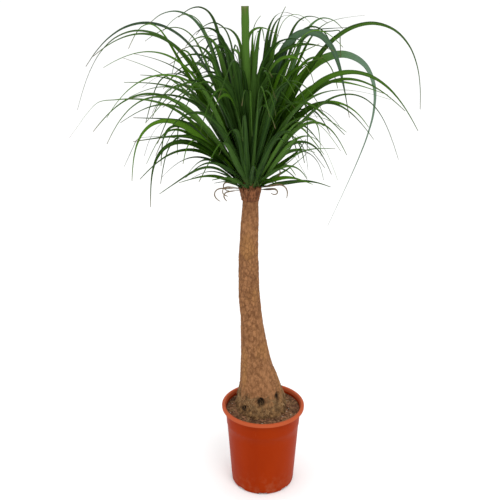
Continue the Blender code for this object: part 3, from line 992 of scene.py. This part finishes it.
def add_leaf(name, azimuth, line, blade, replaced=(), slot="leaf"):
    points, share, across = blade_sheet(azimuth, line, blade)
    rows, columns = share.shape
    paints = [leaf_upper, leaf_under]
    faces = grid_faces(rows, columns)[:, ::-1]
    piece = add_piece(name, points.reshape(-1, 3), faces, paints, slot, replaced)
    shell = piece.modifiers.new("thickness", "SOLIDIFY")
    shell.thickness, shell.offset, shell.material_offset = BLADE_THICKNESS, 0.0, 1
    mesh = apply_modifiers(piece)
    share, across = np.tile(share.ravel(), 2), np.tile(across.ravel(), 2)
    ragged = 0.03 * np.sin(across * 7 + blade.seed * 3)
    store(mesh, "along", share)
    store(mesh, "across", across)
    store(mesh, "tone", np.full(len(share), blade.tone))
    store(mesh, "bloom", blade.bloom * smooth_step(0.34, 0.50, share))
    store(mesh, "dry", smooth_step(blade.dry_from, blade.dry_from + 0.12, share + ragged))
    stations = np.tile(np.repeat(np.arange(rows), columns), 2)
    lay_out_map(mesh, stations, across, np.arange(len(share)) >= rows * columns)
    return piece


# %% [markdown]
# ## Keeping leaves apart
#
# Real leaves rest on one another and never grow through one another. Every leaf laid so far is
# kept as a search tree, without its crowded base. A new leaf is tried in a few rolls or
# directions, and the first that crosses nothing is used. Where all of them cross something, the
# one that crosses least is used, so a few crossings remain. The prints below count them.

# %% Leaves that keep apart
CROWDED_SHARE = 0.18
leaf_trees = []


def leaf_tree(azimuth, line, blade):
    points, share, _ = blade_sheet(azimuth, line, blade)
    points = points[share[:, 0] >= CROWDED_SHARE][::2, ::2]
    faces = grid_faces(*points.shape[:2]).tolist()
    return BVHTree.FromPolygons(points.reshape(-1, 3).tolist(), faces)


def least_crossed(choices):
    """The (azimuth, line, blade) that crosses the fewest leaves, and how many it crosses."""
    fewest = math.inf
    for choice in choices:
        tree = leaf_tree(*choice)
        hits = sum(bool(tree.overlap(other)) for other in leaf_trees)
        if hits < fewest:
            best, best_tree, fewest = choice, tree, hits
        if not hits:
            break
    leaf_trees.append(best_tree)
    return best, fewest


# %% [markdown]
# ## The crown: leaves of the frame
#
# The old outer leaves hang and the young inner ones stand. No two are alike: each gets its own
# width, roll and tone from a seeded generator, so that the crown is the same every time. A few
# big leaves that show their broad face in the middle of their fall are given by name.

# %% Leaves of the frame
crown_rng = random.Random(404)
ROLL_BY_LEAF = {30: 62, 43: -58, 26: 24, 28: -22, 34: 30, 12: -28, 52: 34}  # degrees
WIDTH_BY_LEAF = {30: 0.026, 43: 0.024, 52: 0.019, 26: 0.020, 40: 0.021}
# how much grey wax and painted sheen each of these leaves shows
WAX_AND_SHEEN_BY_LEAF = {30: 1.0, 43: 0.45, 37: 0.5, 31: 0.4, 39: 0.4, 34: 0.3}
TONE_BY_LEAF = {15: 1.5, 17: 1.4, 52: 1.0, 26: 0.3, 28: 0.3}
CUT_OFF = (52,)
ROOT_LENGTH = 0.007


def leaf_tone(rng, azimuth):
    """Most leaves are dark and a few are bright, none of those that bow to the front."""
    tone = 1.35 * rng.random() ** 1.4
    return FRONT_TONE * tone if bows_to_front(azimuth) else tone


def into_stem(line):
    """The line begun a little further back, so that the leaf comes out of the stem."""
    back = (line[1] - line[0]) / np.linalg.norm(line[1] - line[0])
    return np.concatenate([[line[0] - ROOT_LENGTH * back], line])


crossings = 0
for index, name in enumerate(leaf_nodes):
    azimuth, line = leaf_lines[name]
    line = into_stem(line)
    number = int(name[-2:])
    length = np.linalg.norm(np.diff(line, axis=0), axis=1).sum()
    launch = math.degrees(math.atan2(line[4][1] - line[1][1], line[4][0] - line[1][0]))
    roll = ROLL_BY_LEAF.get(number, crown_rng.choice((-1, 1)) * crown_rng.uniform(18, 58))
    blade = Blade(
        width=WIDTH_BY_LEAF.get(number, crown_rng.uniform(0.0165, 0.0215) * min(1.0, 0.62 + length)),
        roll=roll,
        twist=0.0 if number in CUT_OFF else crown_rng.gauss(0, 28),
        fold=crown_rng.uniform(14, 26),
        tone=TONE_BY_LEAF.get(number, leaf_tone(crown_rng, azimuth)),
        dry_from=crown_rng.uniform(0.90, 0.98),
        sway=0.0,
        wave=0.006,
        seed=index,
        taper=taper_start(launch, azimuth),
        bloom=WAX_AND_SHEEN_BY_LEAF.get(number, 0.0),
        cut=number in CUT_OFF,
    )
    rolls = (roll, -roll, roll / 2, -roll / 2, 0)
    chosen, hits = least_crossed([(azimuth, line, blade._replace(roll=r)) for r in rolls])
    crossings += hits
    add_leaf("blade_" + name[-2:], *chosen, replaced=[name])
print("leaves of the frame:", len(leaf_nodes), "and they cross", crossings, "times")

# %% [markdown]
# ## The crown: more named leaves
#
# `Sweep` describes a leaf as a grower would: the direction it grows in, the slope it leaves the
# stem at, its length, at what share of its length it arches over and how softly, and the slope it
# ends with. Some have a kink, where a heavy tip has folded. These fill the fan on the left, the
# upright middle and the right, where the plant is denser than a rule would make it.

# %% Lines of arching leaves
CROWN_FOOT, CROWN_RISE = 0.903, 0.066
Sweep = namedtuple(
    "Sweep", "azimuth launch length arch ease hang width roll kink", defaults=(0.0, 0.0, None)
)


def arching_line(leaf, rank, stations=24):
    """How far out and how high a leaf runs that starts on the stem and arches over."""

    def bent(share):
        return 1 / (1 + np.exp((leaf.arch - share) / leaf.ease))

    share = (np.arange(stations) + 0.5) / stations
    pitch = mix(leaf.launch, leaf.hang, (bent(share) - bent(0)) / (bent(1) - bent(0)))
    if leaf.kink:
        pitch = pitch + leaf.kink[1] * (share > leaf.kink[0])
    pitch = np.radians(pitch)
    moves = np.stack([np.cos(pitch), np.sin(pitch)], axis=-1) * leaf.length / stations
    start = np.array([mix(0.024, 0.005, rank), CROWN_FOOT + CROWN_RISE * rank])
    return np.concatenate([[start], start + np.cumsum(moves, axis=0)])


# %% More named leaves
SWEEPS = (
    # long and thin, over the upper left
    Sweep(178, 66, 0.60, 0.72, 0.10, -38, 0.018, 50),
    Sweep(184, 65, 0.53, 0.72, 0.10, -30, 0.017, -48),
    Sweep(187, 60, 0.44, 0.68, 0.14, 18, 0.017, 45),
    Sweep(172, 65, 0.44, 0.70, 0.14, 8, 0.016, -50),
    Sweep(176, 65, 0.43, 0.82, 0.02, -76, 0.017, 52),
    Sweep(172, 60, 0.54, 0.84, 0.03, -62, 0.015, -45),
    # the dense fan below them
    Sweep(182, 64, 0.42, 0.60, 0.12, 0, 0.020, 55),
    Sweep(189, 62, 0.40, 0.62, 0.11, -10, 0.019, -50),
    Sweep(171, 56, 0.42, 0.70, 0.08, -25, 0.019, 48),
    Sweep(194, 53, 0.41, 0.68, 0.09, -32, 0.019, 50),
    Sweep(184, 53, 0.51, 0.66, 0.10, -50, 0.018, -45),
    Sweep(179, 48, 0.35, 0.58, 0.06, 0, 0.017, 45),
    Sweep(191, 43, 0.41, 0.56, 0.09, -88, 0.018, 52),
    Sweep(174, 42, 0.35, 0.66, 0.06, -64, 0.017, -40),
    Sweep(186, 44, 0.35, 0.68, 0.05, -86, 0.017, 46),
    Sweep(168, 49, 0.33, 0.68, 0.04, -88, 0.016, 40),
    Sweep(197, 46, 0.25, 0.72, 0.05, -78, 0.016, -40),
    Sweep(180, 30, 0.15, 0.60, 0.10, -30, 0.014, 35),
    Sweep(204, 40, 0.19, 0.62, 0.10, -40, 0.017, 38),
    Sweep(160, 36, 0.20, 0.60, 0.10, -55, 0.016, -35),
    # broad ones in the middle, nearly upright
    Sweep(200, 87, 0.44, 0.80, 0.05, -30, 0.017, 40),
    Sweep(186, 77, 0.41, 0.86, 0.04, -40, 0.024, 62),
    Sweep(192, 73, 0.40, 0.86, 0.05, -25, 0.022, 58),
    Sweep(0, 93, 0.41, 0.84, 0.04, -35, 0.019, 55),
    Sweep(330, 89, 0.38, 0.94, 0.04, 40, 0.022, 60),
    Sweep(12, 80, 0.41, 0.90, 0.04, 60, 0.022, -60),
    Sweep(350, 76, 0.38, 0.74, 0.06, 25, 0.017, -58),
    Sweep(342, 74, 0.36, 0.74, 0.08, 18, 0.021, 56),
    Sweep(5, 70, 0.35, 0.78, 0.08, 22, 0.018, -52),
    # over the right
    Sweep(8, 63, 0.48, 0.58, 0.09, -20, 0.018, -50),
    Sweep(358, 58, 0.43, 0.62, 0.09, -52, 0.018, 48),
    Sweep(16, 70, 0.52, 0.70, 0.03, 0, 0.016, 40, (0.86, -85)),
    Sweep(25, 67, 0.53, 0.76, 0.05, 4, 0.015, 40),
    Sweep(12, 73, 0.50, 0.80, 0.05, -70, 0.016, -44),
    # broad and steep, on both sides of the middle
    Sweep(184, 74, 0.50, 0.84, 0.04, -50, 0.022, 34),
    Sweep(170, 78, 0.49, 0.86, 0.04, -40, 0.022, -30),
    Sweep(196, 80, 0.46, 0.82, 0.05, -62, 0.021, 28),
    Sweep(176, 70, 0.50, 0.80, 0.05, -35, 0.021, -36),
    Sweep(352, 80, 0.48, 0.84, 0.04, -55, 0.021, 30),
    Sweep(8, 75, 0.47, 0.86, 0.04, -30, 0.021, -32),
    Sweep(344, 72, 0.48, 0.82, 0.05, -45, 0.020, 34),
    # over the right again, lower and lower
    Sweep(350, 68, 0.44, 0.78, 0.05, -75, 0.016, 42),
    Sweep(358, 52, 0.55, 0.62, 0.08, -70, 0.015, -46),
    Sweep(352, 53, 0.34, 0.66, 0.08, -62, 0.018, -50),
    Sweep(8, 51, 0.32, 0.66, 0.04, -84, 0.017, 45),
    Sweep(347, 50, 0.28, 0.60, 0.09, -66, 0.018, 48),
    Sweep(3, 37, 0.23, 0.64, 0.08, -4, 0.016, -45),
    Sweep(355, 38, 0.17, 0.80, 0.05, 60, 0.019, 50),
    Sweep(12, 32, 0.15, 0.75, 0.08, 50, 0.018, -40),
    Sweep(340, 44, 0.16, 0.80, 0.08, 70, 0.019, 45),
    Sweep(20, 42, 0.19, 0.66, 0.10, -20, 0.018, 40),
    Sweep(349, 26, 0.15, 0.55, 0.12, -20, 0.017, 35),
)
sweep_rng = random.Random(31)
crossings = 0
for index, sweep in enumerate(SWEEPS):
    line = arching_line(sweep, min(max((sweep.launch - 20) / 70, 0.0), 1.0))
    blade = Blade(
        width=sweep.width,
        roll=sweep.roll,
        twist=sweep_rng.gauss(0, 20),
        fold=sweep_rng.uniform(12, 24),
        tone=leaf_tone(sweep_rng, sweep.azimuth),
        dry_from=sweep_rng.uniform(0.90, 0.98),
        sway=sweep_rng.gauss(0, 0.02),
        wave=sweep_rng.uniform(0.0, 0.010),
        seed=index,
        taper=taper_start(sweep.launch, sweep.azimuth),
    )
    chosen, hits = least_crossed(
        [
            (sweep.azimuth + aside, line, blade._replace(roll=roll))
            for aside in (0, 3, -3, 6, -6)
            for roll in (sweep.roll, 0.6 * sweep.roll, -sweep.roll)
        ]
    )
    crossings += hits
    add_leaf(f"sweeping_blade_{index + 1:02d}", *chosen)
print("more named leaves:", len(SWEEPS), "and they cross", crossings, "times")

# %% [markdown]
# ## The crown: leaves in between
#
# A palm this size has well over a hundred leaves. The ones between the named leaves grow by rule:
# each new leaf is turned on by the golden angle, 137.5 degrees, which is how the plant itself
# spaces them, and the later it grew the steeper it stands. A leaf that would leave the frame's box
# or hang below the crown is shortened and lifted a little at a time, for a set number of tries.

# %% Room for the leaves in between
GOLDEN_ANGLE = 137.508
BETWEEN_COUNT = 84
FIRST_AZIMUTH = 63
BOX_MARGIN = 0.012
LOWEST_TIP = 0.915
FRONT_LIFT = 0.06  # tips in front look lower, so they must be higher
FITTING_TRIES, SHORTENED, LIFTED = 20, 0.94, 0.86
# The right side is thinner than the left, except for its youngest leaves.
SPARSE_SIDE, SPARSE_REACH, SPARSE_LENGTH, SPARSE_RANKS = 355, 48, 0.62, 0.85


def has_room(azimuth, line):
    """Inside the frame's box, and not hanging below the crown."""
    turn_to = math.radians(azimuth)
    spots = np.stack(
        [CROWN_X + line[:, 0] * math.cos(turn_to), line[:, 0] * math.sin(turn_to), line[:, 1]], axis=-1
    )
    low, high = np.array(cad_box[0]), np.array(cad_box[1])
    lowest = LOWEST_TIP + FRONT_LIFT * max(0.0, -math.sin(turn_to))
    inside = (spots > low + BOX_MARGIN).all() and (spots < high - BOX_MARGIN).all()
    return inside and line[-1, 1] > lowest


# %% Grow the leaves in between
between_rng = random.Random(77)
crossings = unfitted = 0
for index in range(BETWEEN_COUNT):
    rank = (index + 0.5) / BETWEEN_COUNT
    sweep = Sweep(
        azimuth=(index * GOLDEN_ANGLE + FIRST_AZIMUTH) % 360,
        launch=mix(28, 87, rank**0.66) + between_rng.gauss(0, 3.5),
        length=float(np.interp(rank, (0, 0.15, 0.4, 0.7, 1), (0.25, 0.40, 0.52, 0.48, 0.40)))
        * between_rng.uniform(0.80, 1.12),
        arch=mix(0.56, 0.80, rank) + between_rng.uniform(-0.07, 0.07),
        ease=between_rng.choice((0.04, 0.07, 0.10, 0.13)),
        hang=mix(-74, -40, rank) + between_rng.gauss(0, 14),
    )
    if turned_from(sweep.azimuth, SPARSE_SIDE) < SPARSE_REACH and rank < SPARSE_RANKS:
        sweep = sweep._replace(length=sweep.length * SPARSE_LENGTH)
    line = arching_line(sweep, rank)
    for _ in range(FITTING_TRIES):
        if has_room(sweep.azimuth, line):
            break
        sweep = sweep._replace(length=sweep.length * SHORTENED, hang=sweep.hang * LIFTED)
        line = arching_line(sweep, rank)
    unfitted += not has_room(sweep.azimuth, line)
    blade = Blade(
        width=between_rng.uniform(0.0145, 0.0205) * mix(0.80, 1.0, rank),
        roll=between_rng.choice((-1, 1)) * between_rng.uniform(15, 60),
        twist=between_rng.gauss(0, 35),
        fold=between_rng.uniform(12, 26),
        tone=leaf_tone(between_rng, sweep.azimuth),
        dry_from=between_rng.uniform(0.93, 0.99),
        sway=between_rng.gauss(0, 0.05),
        wave=between_rng.uniform(0.0, 0.012),
        seed=index,
        taper=taper_start(sweep.launch, sweep.azimuth),
    )
    turned_back = blade._replace(roll=-blade.roll)
    asides = (0, 3, -3, 6, -6, 10, -10, 15, -15)
    chosen, hits = least_crossed(
        [(sweep.azimuth + aside, line, b) for aside in asides for b in (blade, turned_back)]
    )
    crossings += hits
    add_leaf(f"inner_blade_{index + 1:03d}", *chosen)
print("leaves in between:", BETWEEN_COUNT, "and they cross", crossings, "times")
print("leaves in between that still reach too far or hang too low:", unfitted)

# %% [markdown]
# ## Dry leaf bases
#
# Old leaves tear off and leave papery brown bases that clasp the stem like shingles. Each scale
# is a small curved sheet, wide where it clasps and ragged at its free end. Three rings of them
# overlap. They are one piece, because on the plant they are one worn sleeve.

# %% Dry leaf bases
Ring = namedtuple("Ring", "count height tall radius flare")
RINGS = (
    Ring(11, 0.872, 0.022, 0.0232, 0.0012),
    Ring(12, 0.882, 0.022, 0.0252, 0.0026),
    Ring(13, 0.891, 0.021, 0.0270, 0.0042),
)
SCALE_ROWS, SCALE_COLUMNS = 7, 7


def scale_points(ring, index, rng):
    """One scale as a grid: rows up it, columns round the stem."""
    middle = math.radians(index * 360 / ring.count + rng.uniform(-6, 6))
    tall, flare = ring.tall * rng.uniform(0.75, 1.25), ring.flare * rng.uniform(0.5, 1.5)
    wide, lean = 2 * math.pi / ring.count * rng.uniform(1.15, 1.55), rng.uniform(-0.18, 0.18)
    up, side = np.linspace(0, 1, SCALE_ROWS), np.linspace(-1, 1, SCALE_COLUMNS)
    up, side = np.meshgrid(up, side, indexing="ij")
    ragged = 0.16 * np.sin(side * 7.2 + index * 1.9) * up
    turn_to = middle + side * wide / 2 * (1 - 0.62 * up**1.6) + lean * up
    radius = ring.radius + flare * up**2 + 0.0007 * np.sin(side * 5 + index) + 0.0009 * up
    height = ring.height + tall * (up + ragged - 0.10 * side**2)
    grid = np.stack([CROWN_X + radius * np.cos(turn_to), radius * np.sin(turn_to), height], axis=-1)
    return grid.reshape(-1, 3)


scale_rng = random.Random(9)
scales = [scale_points(ring, i, scale_rng) for ring in RINGS for i in range(ring.count)]
scale_faces = grid_faces(SCALE_ROWS, SCALE_COLUMNS)
scale_faces = np.concatenate([scale_faces + i * SCALE_ROWS * SCALE_COLUMNS for i in range(len(scales))])

papery = Finish("papery_leaf_base", specular=0.10)
fibre_lines = papery.grain(240.0, 4.0, stretch=(1, 1, 0.10))
papery_colour = papery.mix(fibre_lines.between(0.32, 0.68), (0.075, 0.026, 0.011), (0.235, 0.092, 0.040))
papery_colour = papery.mix(papery.grain(50.0).between(0.55, 0.72) * 0.35, papery_colour, (0.31, 0.17, 0.09))
papery_paint = papery.done(
    papery_colour, roughness=0.72 + 0.2 * fibre_lines, height=fibre_lines, depth=0.0008
)
bases = add_piece(
    "dry_leaf_bases", np.concatenate(scales), scale_faces, [papery_paint], "dry_leaf", ["dry_leaf_collar"]
)
skin = bases.modifiers.new("thickness", "SOLIDIFY")
skin.thickness, skin.offset = 0.0006, 1.0
apply_modifiers(bases)
print("dry bases:", len(scales), "scales,", len(bases.data.polygons), "faces")

# %% [markdown]
# ## Dry curls
#
# A few dead leaf ends curl up like wood shavings under the crown. They are blades like the
# others, dry all the way, on a line that ends in a hook.

# %% Dry curls
Curl = namedtuple("Curl", "azimuth launch length hook height")
CURLS = (
    Curl(186, 4, 0.105, -150, 0.900),
    Curl(205, 12, 0.085, -170, 0.904),
    Curl(176, -8, 0.070, -130, 0.896),
    Curl(352, 6, 0.075, -210, 0.898),
    Curl(20, 20, 0.100, 120, 0.903),
    Curl(334, 16, 0.110, -120, 0.905),
    Curl(150, 10, 0.090, -190, 0.900),
)
CURL_OUT = 0.024
CURL_BLADE = Blade(
    width=0.0075, roll=30, twist=60, fold=18, tone=0.5, dry_from=0.0, sway=0.05, wave=0.0, seed=0
)
for index, curl in enumerate(CURLS):
    share = np.linspace(0, 1, 20)
    pitch = np.radians(curl.launch + curl.hook * smooth_step(0.45, 1.0, share))
    moves = np.stack([np.cos(pitch), np.sin(pitch)], axis=-1) * curl.length / len(share)
    line = np.array([CURL_OUT, curl.height]) + np.cumsum(moves, axis=0)
    blade = CURL_BLADE._replace(seed=index)
    add_leaf(f"dry_curl_{index + 1}", curl.azimuth, line, blade, slot="dry_leaf")
print("curls:", len(CURLS))

# %% [markdown]
# ## Size of the dressed plant
#
# The dressed plant has to be as large as the frame says. Both boxes are printed.

# %% Size
dressed_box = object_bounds()
boxes = {"cad": cad_box, "visual": dressed_box}
boxes = {key: [list(map(float, corner)) for corner in box] for key, box in boxes.items()}
for key, corners in boxes.items():
    print(key, [[round(v, 4) for v in corner] for corner in corners])
